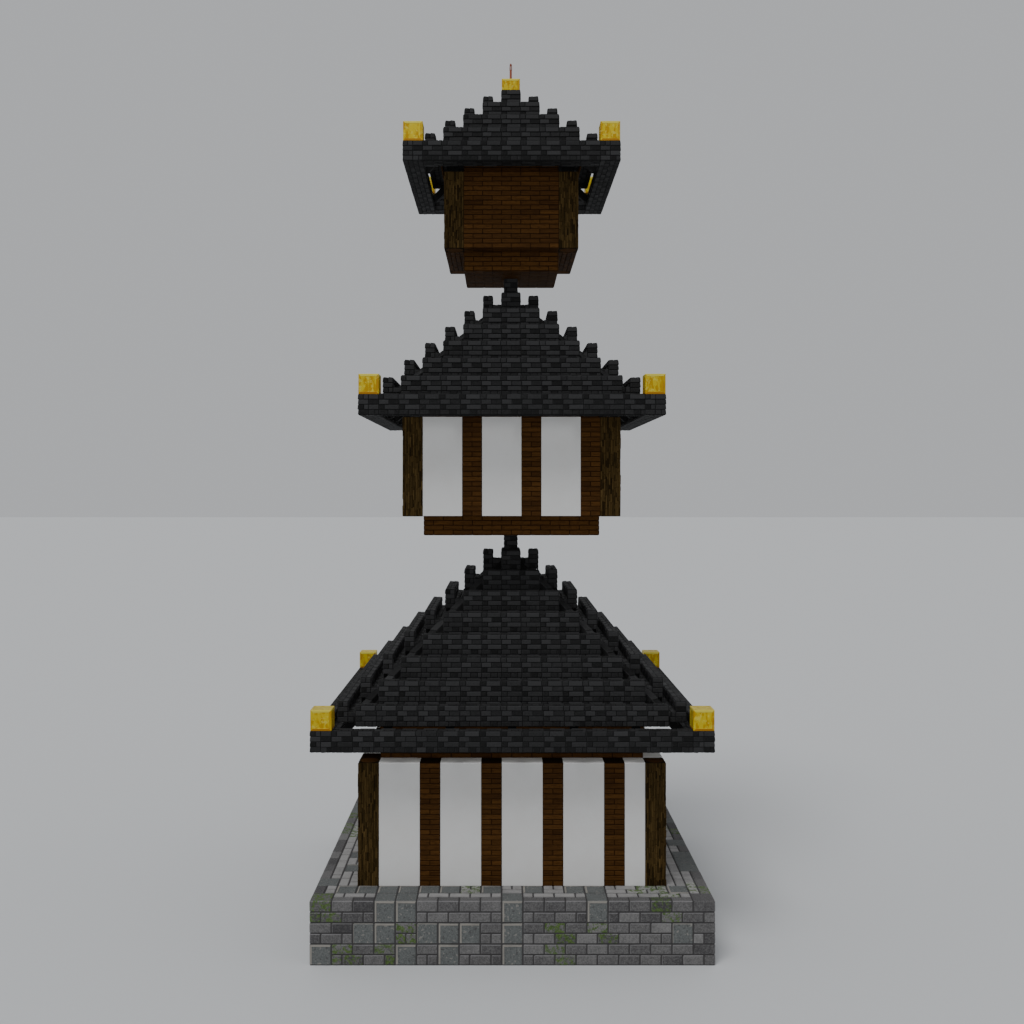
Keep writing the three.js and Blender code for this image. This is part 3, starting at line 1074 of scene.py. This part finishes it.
def lay_bark(layer, sizes, side, half, s0, foot, head, strip):
    """Strips of bark down the outer face of a corner log, each as long as chance has it."""
    axes = face_axes(side, "out")
    strips = round(BLOCK / sizes.bark_width)
    for index in range(strips):
        s = s0 + (index + 0.5) / strips
        z = foot
        while z < head:
            length = layer.chance.uniform(BARK_LEAST, BARK_MOST)
            end = head if head - z - length < BARK_LEAST else z + length
            proud = layer.chance.uniform(*BARK_PROUD)
            size = (sizes.bark_width - BARK_GAP, (end - z) * BLOCK - BARK_CRACK, BARK_THICKNESS)
            centre = on_side(side, half, s, 0, (z + end) / 2) + axes[2] * (proud - BARK_THICKNESS / 2)
            tone = layer.tone(*BARK_TONES)
            layer.lay(strip, centre, axes, size, BARK_EDGE, rough=BARK_ROUGH, tone=tone)
            z = end


class CASTLE_OT_timber_frames(bpy.types.Operator):
    """Board the posts and cover the corner logs with bark"""

    bl_idname = "castle.timber_frames"
    bl_label = "Posts and logs"

    def execute(self, context):
        sizes = context.scene.castle_sizes
        board = model_board()
        for name, storey in STOREYS.items():
            half, foot, head = storey["half"], storey["foot"], storey["head"]
            for side in SIDES:
                if storey["posts"]:
                    layer = Layer(f"{name}_{side}_post_boards")
                    for column in posts_of(storey, side):
                        post = (column - half, column + 1 - half, 0, 1, foot, head)
                        clad(layer, board, boarding(sizes), side, half, post, "out")
                    layer.finish(board_timber, "plank")
                if storey["posts"] or side in ("front", "back"):
                    coat(f"{name}_{side}_frame", frame_timber)
                layer = Layer(f"{name}_{side}_log_bark")
                for s0 in (-half, half - 1):
                    lay_bark(layer, sizes, side, half, s0, foot, head, board)
                layer.finish(bark_timber, "log")
            self.lay_log_ends(name, storey, board)
        return {"FINISHED"}

    def lay_log_ends(self, name, storey, plate):
        """The sawn ends of the four corner logs, above and, where the storey hangs free, below."""
        half = storey["half"]
        layer = Layer(f"{name}_log_ends")
        for side in SIDES:
            for face, z in (("top", storey["head"]), ("under", storey["foot"])):
                if face == "under" and not storey["floor"]:
                    continue
                axes = face_axes(side, face)
                size = (BLOCK - LOG_END_GAP, BLOCK - LOG_END_GAP, BARK_THICKNESS)
                centre = on_side(side, half, 0.5 - half, 0.5, z)
                centre += axes[2] * (LOG_END_PROUD - BARK_THICKNESS / 2)
                layer.lay(plate, centre, axes, size, BARK_EDGE, shift=False)
        layer.finish(log_end, "log")


# Walls

class CASTLE_OT_plaster_walls(bpy.types.Operator):
    """Fill the bays of the two lower storeys with plaster panels"""

    bl_idname = "castle.plaster_walls"
    bl_label = "Plaster walls"

    def execute(self, context):
        panel = model_panel()
        cap = model_board()
        for name, storey in STOREYS.items():
            if not storey["posts"]:
                continue
            for side in SIDES:
                layer = Layer(f"{name}_{side}_plaster_coat")
                self.fill(layer, panel, cap, side, storey)
                piece = layer.finish(lime_plaster, "plaster")
                self.trowel(piece)
                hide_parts(f"{name}_{side}_plaster")
        return {"FINISHED"}

    def fill(self, layer, panel, cap, side, storey):
        """A panel in each bay with its cap over the rail, and the sheet behind the posts."""
        half, foot, head = storey["half"], storey["foot"], storey["head"]
        columns = [0, *posts_of(storey, side), 2 * half - 1]
        axes = face_axes(side, "out")
        cap_size = BLOCK - 2 * CAP_SETBACK
        depth = PANEL_DEPTH * BLOCK
        for left, right in zip(columns, columns[1:]):
            bay = right - left - 1
            if bay <= NARROW_BAY:
                continue
            size = (bay * BLOCK - PANEL_SIDE_PLAY, (head - foot) * BLOCK - PANEL_TOP_PLAY, depth)
            middle = (left + 1 + right) / 2 - half
            centre = on_side(side, half, middle, PANEL_DEPTH / 2, (foot + head) / 2)
            layer.lay(panel, centre, axes, size, PANEL_EDGE)
            # Each cap takes the pale cap colour, a painted highlight on the top of the panel.
            size = (size[0], cap_size, CAP_THICKNESS)
            centre = on_side(side, half, middle, 0.5, head)
            layer.lay(cap, centre, face_axes(side, "top"), size, CAP_SETBACK, tone=1.0)
        depth = (1 - SHEET_START) * BLOCK - SHEET_PLAY
        size = (2 * (half - 1) * BLOCK - SHEET_PLAY, (head - foot - 2 * RAIL_HEIGHT) * BLOCK, depth)
        centre = on_side(side, half, 0, (1 + SHEET_START) / 2, (foot + head) / 2)
        layer.lay(panel, centre, axes, size, PANEL_EDGE / 2)

    def trowel(self, piece):
        """Makes the plaster faces gently uneven."""
        for vertex in piece.data.vertices:
            drift = sum(share * noise.noise(vertex.co * rate) for share, rate in TROWEL_WAVES)
            vertex.co += vertex.normal * (TROWEL_DEPTH * drift)


class CASTLE_OT_plank_walls(bpy.types.Operator):
    """Board the walls of the top storey"""

    bl_idname = "castle.plank_walls"
    bl_label = "Top storey boards"

    def execute(self, context):
        sizes = context.scene.castle_sizes
        board = model_board()
        storey = STOREYS["tier3"]
        half = storey["half"]
        box = (1 - half, half - 1, 0, 1, storey["foot"], storey["head"])
        for side in SIDES:
            layer = Layer(f"tier3_{side}_wall_boards")
            # The underside of the top storey's walls is painted darker, as painted shade.
            for face, lighter in (("out", 0), ("top", 0), ("under", FLOOR_UNDERSIDE_PAINTED_SHADE)):
                clad(layer, board, boarding(sizes), side, half, box, face, lighter)
            layer.finish(board_timber, "plank")
            coat(f"tier3_{side}_planks", frame_timber)
        return {"FINISHED"}


class CASTLE_OT_floors(bpy.types.Operator):
    """Board the edges of the floors and ceilings, the undersides of the floors and the sills"""

    bl_idname = "castle.floors"
    bl_label = "Floors and ceilings"

    def execute(self, context):
        board = model_board()
        coursing = boarding(context.scene.castle_sizes)
        for name, storey in STOREYS.items():
            inner = storey["half"] - 1
            self.cover(board, coursing, f"{name}_ceiling", inner, storey["head"])
            if storey["floor"]:
                self.cover(board, coursing, f"{name}_floor", inner, storey["foot"] - 1)
            if storey["floor"] and storey["posts"]:
                layer = Layer(f"{name}_sill_boards")
                for side in SIDES:
                    for box in sill_boxes(storey, side):
                        clad(layer, board, coursing, side, storey["half"], box, "under")
                layer.finish(board_timber, "plank")
        return {"FINISHED"}

    def cover(self, board, coursing, node, half, low):
        """Boards on the four edges of a floor or ceiling, and under a floor."""
        layer = Layer(f"{node}_boards")
        box = (-half, half, 0, 2 * half, low, low + 1)
        # The edges are painted lighter, as painted light in the shade of the eaves, and a floor's underside
        # darker, as painted shade.
        for side in SIDES:
            clad(layer, board, coursing, side, half, box, "out", lighter=FLOOR_EDGE_PAINTED_LIGHT)
        if node.endswith("floor"):
            clad(layer, board, coursing, "front", half, box, "under", lighter=FLOOR_UNDERSIDE_PAINTED_SHADE)
        layer.finish(board_timber, "plank")
        coat(node, frame_timber)


# Roofs

def lay_row(layer, coursing, tile, side, half, k, reach, eave):
    """Tiles on one stepped row, its ends and the riser below it.

    The row is tall outside and low inside. Between the eaves and the next row the roof is open.
    """
    z = eave + k
    tall = (-reach, reach, k, k + 0.5, z, z + 1)
    low = (-reach, reach, k + 0.5, k + 1, z, z + 0.5)
    back = (-reach, reach, k, k + 0.5, z + 0.5, z + 1)
    faces = [(tall, "out"), (tall, "top"), (low, "top"), (back, "in")]
    faces += [(box, face) for box in (tall, low) for face in ("right", "left")]
    if k < OPEN_ROWS:
        faces.append(((-reach, reach, k, k + 1, z, z + 1), "under"))
    if k == 0:
        faces.append((low, "in"))
    if k >= OPEN_ROWS:
        faces.append(((-reach, reach, k, k + 1, z - 0.5, z), "out"))
    for box, face in faces:
        lift = coursing.lift if face in ("out", "top") else coursing.lift / 2
        # Undersides of the open rows and the eaves' outer face are painted darker, as painted shade.
        lighter = {"under": ROW_UNDERSIDE_PAINTED_SHADE, "out": EAVES_PAINTED_SHADE if k == 0 else 0}.get(face, 0)
        clad(layer, tile, replace(coursing, lift=lift), side, half, box, face, lighter)


def lay_corners(layer, coursing, tile, side, half, eave):
    """Fills the low inner half of the eaves under the finials at one side's two ends."""
    core = (0.5 * BLOCK - coursing.chamfer,) * 3
    for s0 in (-half, half - 0.5):
        box = (s0, s0 + 0.5, 0.5, 1, eave + 0.5, eave + 1)
        centre = on_side(side, half, s0 + 0.25, 0.75, eave + 0.75)
        layer.lay(tile, centre, face_axes(side, "out"), core, coursing.chamfer / 2)
        # The sides of the corner fill are painted darker like the eaves, as painted shade.
        for face in ("left", "right", "in"):
            clad(layer, tile, coursing, side, half, box, face, EAVES_PAINTED_SHADE)


def lay_hip(layer, tile, side, half, rows, eave):
    """Thick tiles laid up the hip at one side's right end, two to a block, each over the one below."""
    along, inward = SIDE_AXES[side]
    climb = (inward - along + UP).normalized()
    normal = (UP - climb * climb.z).normalized()
    axes = (climb.cross(normal), climb, normal)
    length = math.sqrt(3) * BLOCK / 2
    size = (HIP_WIDTH * BLOCK, length + HIP_LAP, HIP_THICKNESS)
    for step in range(math.ceil(2 * DECK_START), 2 * rows - 1):
        d = (step + 0.5) / 2
        centre = on_side(side, half, half - d, d, eave + d - DECK_TOP)
        centre += normal * (HIP_PROUD - HIP_THICKNESS / 2)
        tone = layer.tone(*HIP_TONES)
        layer.lay(tile, centre, axes, size, HIP_EDGE, HIP_LIFT, TILE_ROUGH, tone=tone)


def lay_soffit(layer, board, sizes, side, roof):
    """Boards under the sloping deck, along the eaves, and under each rafter."""
    half, eave = roof["half"], roof["eave"]
    along, inward = SIDE_AXES[side]
    climb = (inward + UP).normalized()
    axes = (-along, climb, climb.cross(along))
    sheen_slant = math.sqrt(2) * BLOCK
    courses = round((RAFTER_END - DECK_START) * sheen_slant / sizes.board_height)
    rise = (RAFTER_END - DECK_START) / courses
    for course in range(courses):
        d = DECK_START + (course + 0.5) * rise
        size = (2 * (half - d - rise) * BLOCK, rise * sheen_slant - sizes.board_joint, SOFFIT_THICKNESS)
        centre = on_side(side, half, 0, d, eave + d - DECK_UNDERSIDE)
        layer.lay(board, centre, axes, size, BOARD_EDGE, tone=layer.chance.uniform(*DECK_TONES))
    for s in roof["rafters"]:
        end = min(math.floor(half - abs(s) - RAFTER_WIDTH / 2), RAFTER_END)
        d = (RAFTER_START + end) / 2
        length = (end - RAFTER_START) * sheen_slant - sizes.board_joint
        size = (RAFTER_WIDTH * BLOCK - RAFTER_PLAY, length, SOFFIT_THICKNESS)
        centre = on_side(side, half, s, d, eave + d - RAFTER_UNDERSIDE)
        layer.lay(board, centre, axes, size, BOARD_EDGE, tone=layer.chance.uniform(*RAFTER_TONES))


def lay_fascia(layer, board, side, roof):
    """A pale board on the lower edge of the deck, which shows in the gap above the eaves; its palest tone
    is painted light against the shade in that gap.
    """
    axes = face_axes(side, "out")
    length = 2 * (roof["ceiling"] - FASCIA_INSET) * BLOCK
    size = (length, FASCIA_HEIGHT * BLOCK, FASCIA_THICKNESS)
    centre = on_side(side, roof["half"], 0, DECK_START, roof["eave"] + FASCIA_MIDDLE)
    layer.lay(board, centre + axes[2] * FASCIA_THICKNESS, axes, size, BOARD_EDGE, tone=1.0)


class CASTLE_OT_roof_slopes(bpy.types.Operator):
    """Tile the stepped rows of every roof slope and board its underside"""

    bl_idname = "castle.roof_slopes"
    bl_label = "Roof slopes"

    def execute(self, context):
        sizes = context.scene.castle_sizes
        plate = model_board()
        for name, roof in ROOFS.items():
            half, eave = roof["half"], roof["eave"]
            for side in SIDES:
                layer = Layer(f"{name}_{side}_tiles")
                for k in range(round(half - 0.5)):
                    whole = side in ("left", "right") and k == 0
                    reach = half if whole else half - 1 - k
                    lay_row(layer, tiling(sizes), plate, side, half, k, reach, eave)
                    if whole:
                        lay_corners(layer, tiling(sizes), plate, side, half, eave)
                lay_hip(layer, plate, side, half, round(half - 0.5), eave)
                layer.finish(smoked_tile, "tile")
                layer = Layer(f"{name}_{side}_soffit")
                lay_soffit(layer, plate, sizes, side, roof)
                layer.finish(smoked_tile, "tile")
                layer = Layer(f"{name}_{side}_fascia")
                lay_fascia(layer, plate, side, roof)
                layer.finish(board_timber, "plank")
                coat(f"{name}_{side}_slope", roof_bed)
        return {"FINISHED"}


class CASTLE_OT_pillars(bpy.types.Operator):
    """Tile the middle block of every roof and the neck above it"""

    bl_idname = "castle.pillars"
    bl_label = "Pillars"

    def execute(self, context):
        tile = model_board()
        coursing = tiling(context.scene.castle_sizes)
        for name, roof in ROOFS.items():
            layer = Layer(f"{name}_pillar_tiles")
            top = roof["eave"] + roof["half"] - 0.5
            block = (-0.5, 0.5, 0, 1, top - 1, top)
            neck = (-NECK_HALF, NECK_HALF, 0, 2 * NECK_HALF, top, top + 1)
            for side in SIDES:
                clad(layer, tile, coursing, side, 0.5, block, "out")
                if name != "roof3":
                    clad(layer, tile, coursing, side, NECK_HALF, neck, "out")
            clad(layer, tile, coursing, "front", 0.5, block, "top")
            layer.finish(smoked_tile, "tile")
            coat(f"{name}_pillar", roof_bed)
        return {"FINISHED"}


# Finials and spire

class CASTLE_OT_finials(bpy.types.Operator):
    """Model the gold block of a finial and copy it to every corner and the summit"""

    bl_idname = "castle.finials"
    bl_label = "Gold finials"

    def execute(self, context):
        corners, faces, worn = self.model()
        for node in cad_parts:
            if "finial" not in node:
                continue
            low, high = (np.array(corner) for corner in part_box(node))
            mesh = bpy.data.meshes.new(f"{node}_gilded")
            mesh.from_pydata((corners + (low + high) / 2).tolist(), [], faces)
            mesh.materials.append(finish_of(gilding))
            attribute = mesh.attributes.new(name="worn", type="FLOAT", domain="FACE")
            attribute.data.foreach_set("value", worn)
            piece = bpy.data.objects.new(f"{node}_gilded", mesh)
            context.scene.collection.objects.link(piece)
            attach(piece, "root")
            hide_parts(node)
        return {"FINISHED"}

    def model(self):
        """One gold block with rounded edges and a shallow sunk field on each face."""
        obj = start_block(BLOCK)
        bevel_all(GOLD_EDGE, segments=2)
        select_faces(obj, lambda polygon: polygon.area > 0.5 * BLOCK * BLOCK)
        with editing():
            bpy.ops.mesh.select_mode(type="FACE")
            bpy.ops.mesh.inset(thickness=GOLD_FRAME, depth=0, use_individual=True)
            bpy.ops.mesh.inset(thickness=GOLD_SINK, depth=-GOLD_SINK, use_individual=True)
        return take_shape(obj, highlight_and_shade_of_gold)


class CASTLE_OT_spire(bpy.types.Operator):
    """Turn the copper spire with its wider foot and band and its narrowed tip"""

    bl_idname = "castle.spire"
    bl_label = "Spire"

    def execute(self, context):
        low, high = (Vector(corner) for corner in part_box("spire"))
        radius = (high.x - low.x) / 2
        length = high.z - low.z
        deselect()
        bpy.ops.mesh.primitive_cylinder_add(
            vertices=SPIRE_SIDES, radius=radius, depth=length, location=(0, 0, (low.z + high.z) / 2)
        )
        obj = bpy.context.object
        obj.name = "spire_rod"
        bpy.ops.object.transform_apply(location=True, rotation=True, scale=True)
        with editing():
            for share in SPIRE_CUTS:
                bpy.ops.mesh.select_all(action="SELECT")
                bpy.ops.mesh.bisect(plane_co=(0, 0, low.z + share * length), plane_no=(0, 0, 1))
        for vertex in obj.data.vertices:
            share = (vertex.co.z - low.z) / length
            for start, end, wide in SPIRE_WIDTHS:
                if start < share < end:
                    vertex.co.x *= wide
                    vertex.co.y *= wide
        obj.data.materials.append(finish_of(weathered_copper))
        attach(obj, "root")
        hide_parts("spire")
        return {"FINISHED"}


# Stage

# Lights: name, strength, spread, tilt from straight down and turn, in degrees, and whether they throw
# shadows. Then the sky and the floor, in metres, and the photograph's view: its camera's place in
# blocks, its focal length in pixels, the square of it that holds the castle, and the lens's own sizes.
LIGHTS = (
    ("broad_light", 1.3, 24, 32, -32, True),
    ("front_fill", 0.5, 40, 62, -8, False),
    ("left_fill", 0.18, 60, 72, -90, False),
    ("right_fill", 0.18, 60, 72, 90, False),
    ("back_fill", 0.18, 60, 72, 180, False),
    ("floor_glow", 0.12, 60, 180, 0, False),
)
SKY_COLOUR = (0.95, 0.97, 1.0, 1)
SKY_STRENGTH = 0.5
FLOOR_SIZE = 900
FLOOR_DROP = 0.002
FLOOR_COLOUR = (0.57, 0.58, 0.59, 1)
CAMERA_PLACE = (-0.5, -61.16, 22.5)
FOCAL_PIXELS = 429.6
IMAGE_CENTRE = (512, 512)
CROP_CENTRE = (516, 522)
CROP_SIZE = 400
SENSOR_WIDTH = 36
FARTHEST_SEEN = 2000


class CASTLE_OT_stage(bpy.types.Operator):
    """Set the floor, the lights and the camera"""

    bl_idname = "castle.stage"
    bl_label = "Stage"

    def execute(self, context):
        self.floor()
        self.lights(context.scene)
        self.camera(context.scene)
        return {"FINISHED"}

    def floor(self):
        """A plain pale floor."""
        deselect()
        bpy.ops.mesh.primitive_plane_add(size=FLOOR_SIZE, location=(0, 0, -FLOOR_DROP))
        floor = bpy.context.object
        floor.name = "stage_floor"
        finish = Finish("stage floor")
        floor.data.materials.append(finish.done(FLOOR_COLOUR, 0.95))

    def lights(self, scene):
        """Soft light from all round, a broad light from above the front left and even fills."""
        world = bpy.data.worlds.new("studio")
        world.use_nodes = True
        background = world.node_tree.nodes["Background"]
        background.inputs["Color"].default_value = SKY_COLOUR
        background.inputs["Strength"].default_value = SKY_STRENGTH
        scene.world = world
        for name, energy, spread, tilt, turn, shadow in LIGHTS:
            sun = bpy.data.lights.new(name, "SUN")
            sun.energy = energy
            sun.angle = math.radians(spread)
            sun.use_shadow = shadow
            lamp = bpy.data.objects.new(name, sun)
            lamp.rotation_euler = (math.radians(tilt), 0, math.radians(turn))
            scene.collection.objects.link(lamp)

    def camera(self, scene):
        """A level camera where the photograph was taken from."""
        data = bpy.data.cameras.new("camera")
        data.sensor_fit = "HORIZONTAL"
        data.sensor_width = SENSOR_WIDTH
        data.lens = SENSOR_WIDTH * FOCAL_PIXELS / CROP_SIZE
        data.shift_x = (CROP_CENTRE[0] - IMAGE_CENTRE[0]) / CROP_SIZE
        data.shift_y = (IMAGE_CENTRE[1] - CROP_CENTRE[1]) / CROP_SIZE
        data.clip_end = FARTHEST_SEEN
        camera = bpy.data.objects.new("camera", data)
        camera.location = Vector(CAMERA_PLACE) * BLOCK
        camera.rotation_euler = (math.radians(90), 0, 0)
        scene.collection.objects.link(camera)
        scene.camera = camera


# Registration

OPERATORS = (
    CASTLE_OT_stone_base,
    CASTLE_OT_timber_frames,
    CASTLE_OT_plaster_walls,
    CASTLE_OT_plank_walls,
    CASTLE_OT_floors,
    CASTLE_OT_roof_slopes,
    CASTLE_OT_pillars,
    CASTLE_OT_finials,
    CASTLE_OT_spire,
    CASTLE_OT_stage,
)


class CASTLE_PT_panel(bpy.types.Panel):
    """Lists the castle's pieces in the sidebar"""

    bl_idname = "CASTLE_PT_panel"
    bl_label = "Castle"
    bl_space_type = "VIEW_3D"
    bl_region_type = "UI"
    bl_category = "Castle"

    def draw(self, context):
        for operator in OPERATORS:
            self.layout.operator(operator.bl_idname)
        for group in (context.scene.castle_sizes, context.scene.castle_colours):
            for name in group.__annotations__:
                self.layout.prop(group, name)


CLASSES = (CastleSizes, CastleColours, *OPERATORS, CASTLE_PT_panel)


def register():
    """Registers the classes and hangs the settings on the scene."""
    for item in CLASSES:
        bpy.utils.register_class(item)
    bpy.types.Scene.castle_sizes = bpy.props.PointerProperty(type=CastleSizes)
    bpy.types.Scene.castle_colours = bpy.props.PointerProperty(type=CastleColours)


def unregister():
    """Takes the settings and the classes away again."""
    del bpy.types.Scene.castle_colours
    del bpy.types.Scene.castle_sizes
    for item in reversed(CLASSES):
        bpy.utils.unregister_class(item)


def main():
    """Dresses the whole castle."""
    register()
    bpy.ops.castle.stage()
    bpy.ops.castle.stone_base()
    bpy.ops.castle.timber_frames()
    bpy.ops.castle.plaster_walls()
    bpy.ops.castle.plank_walls()
    bpy.ops.castle.floors()
    bpy.ops.castle.roof_slopes()
    bpy.ops.castle.pillars()
    bpy.ops.castle.finials()
    bpy.ops.castle.spire()


if __name__ == "__main__":
    main()
